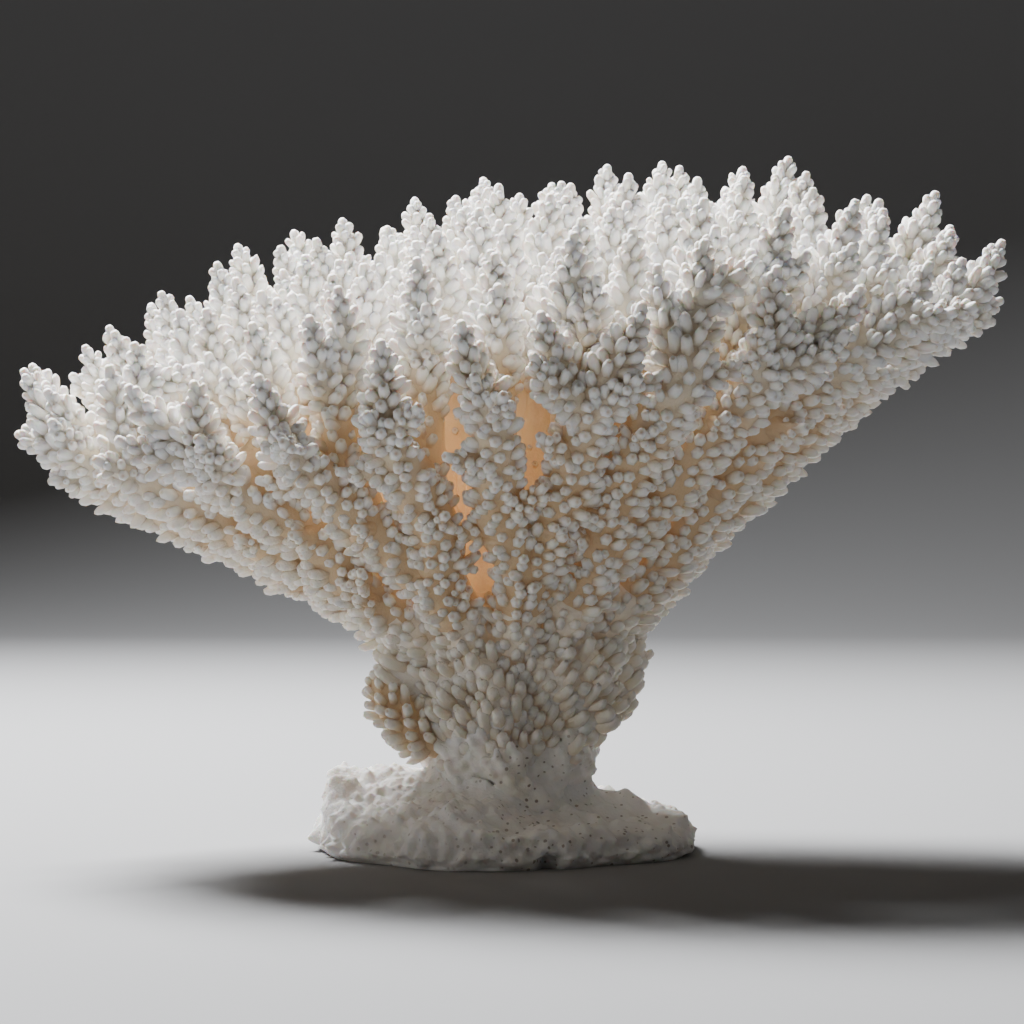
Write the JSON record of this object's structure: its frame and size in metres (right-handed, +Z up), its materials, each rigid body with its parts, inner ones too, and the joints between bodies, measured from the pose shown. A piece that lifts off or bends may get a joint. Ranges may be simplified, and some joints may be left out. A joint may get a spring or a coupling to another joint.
{
  "type": "table coral specimen on its foot",
  "caption": "Dried white table coral: a wide, shallow vase of nubbly forking limbs on a short trunk, standing on its own thin spread foot.",
  "frame": {"origin": "on the flat underside of the foot, below the middle of the trunk", "axes": "+Z up; +X along the colony's long side, towards its higher end; -Y towards the lower front edge of the crown"},
  "size_m": [0.2894, 0.1819, 0.2074],
  "materials": {
    "coral": "matte",
    "foot": "matte"
  },
  "bodies": {
    "root": {"foot": "foot", "trunk": "coral", "low_branch": "coral", "limb_01": "coral", "limb_01_a": "coral", "limb_01_b": "coral", "limb_02": "coral", "limb_02_a": "coral", "limb_02_b": "coral", "limb_03": "coral", "limb_03_a": "coral", "limb_03_b": "coral", "limb_04": "coral", "limb_04_a": "coral", "limb_04_b": "coral", "limb_05": "coral", "limb_05_a": "coral", "limb_05_b": "coral", "limb_06": "coral", "limb_06_a": "coral", "limb_06_b": "coral", "limb_07": "coral", "limb_07_a": "coral", "limb_07_b": "coral", "limb_08": "coral", "limb_08_a": "coral", "limb_08_b": "coral", "limb_09": "coral", "limb_09_a": "coral", "limb_09_b": "coral", "limb_10": "coral", "limb_10_a": "coral", "limb_10_b": "coral", "limb_11": "coral", "limb_11_a": "coral", "limb_11_b": "coral", "limb_12": "coral", "limb_12_a": "coral", "limb_12_b": "coral", "inner_limb_1": "coral", "inner_limb_2": "coral", "inner_limb_3": "coral", "inner_limb_4": "coral", "inner_limb_5": "coral", "inner_limb_6": "coral"}
  },
  "joints": []
}
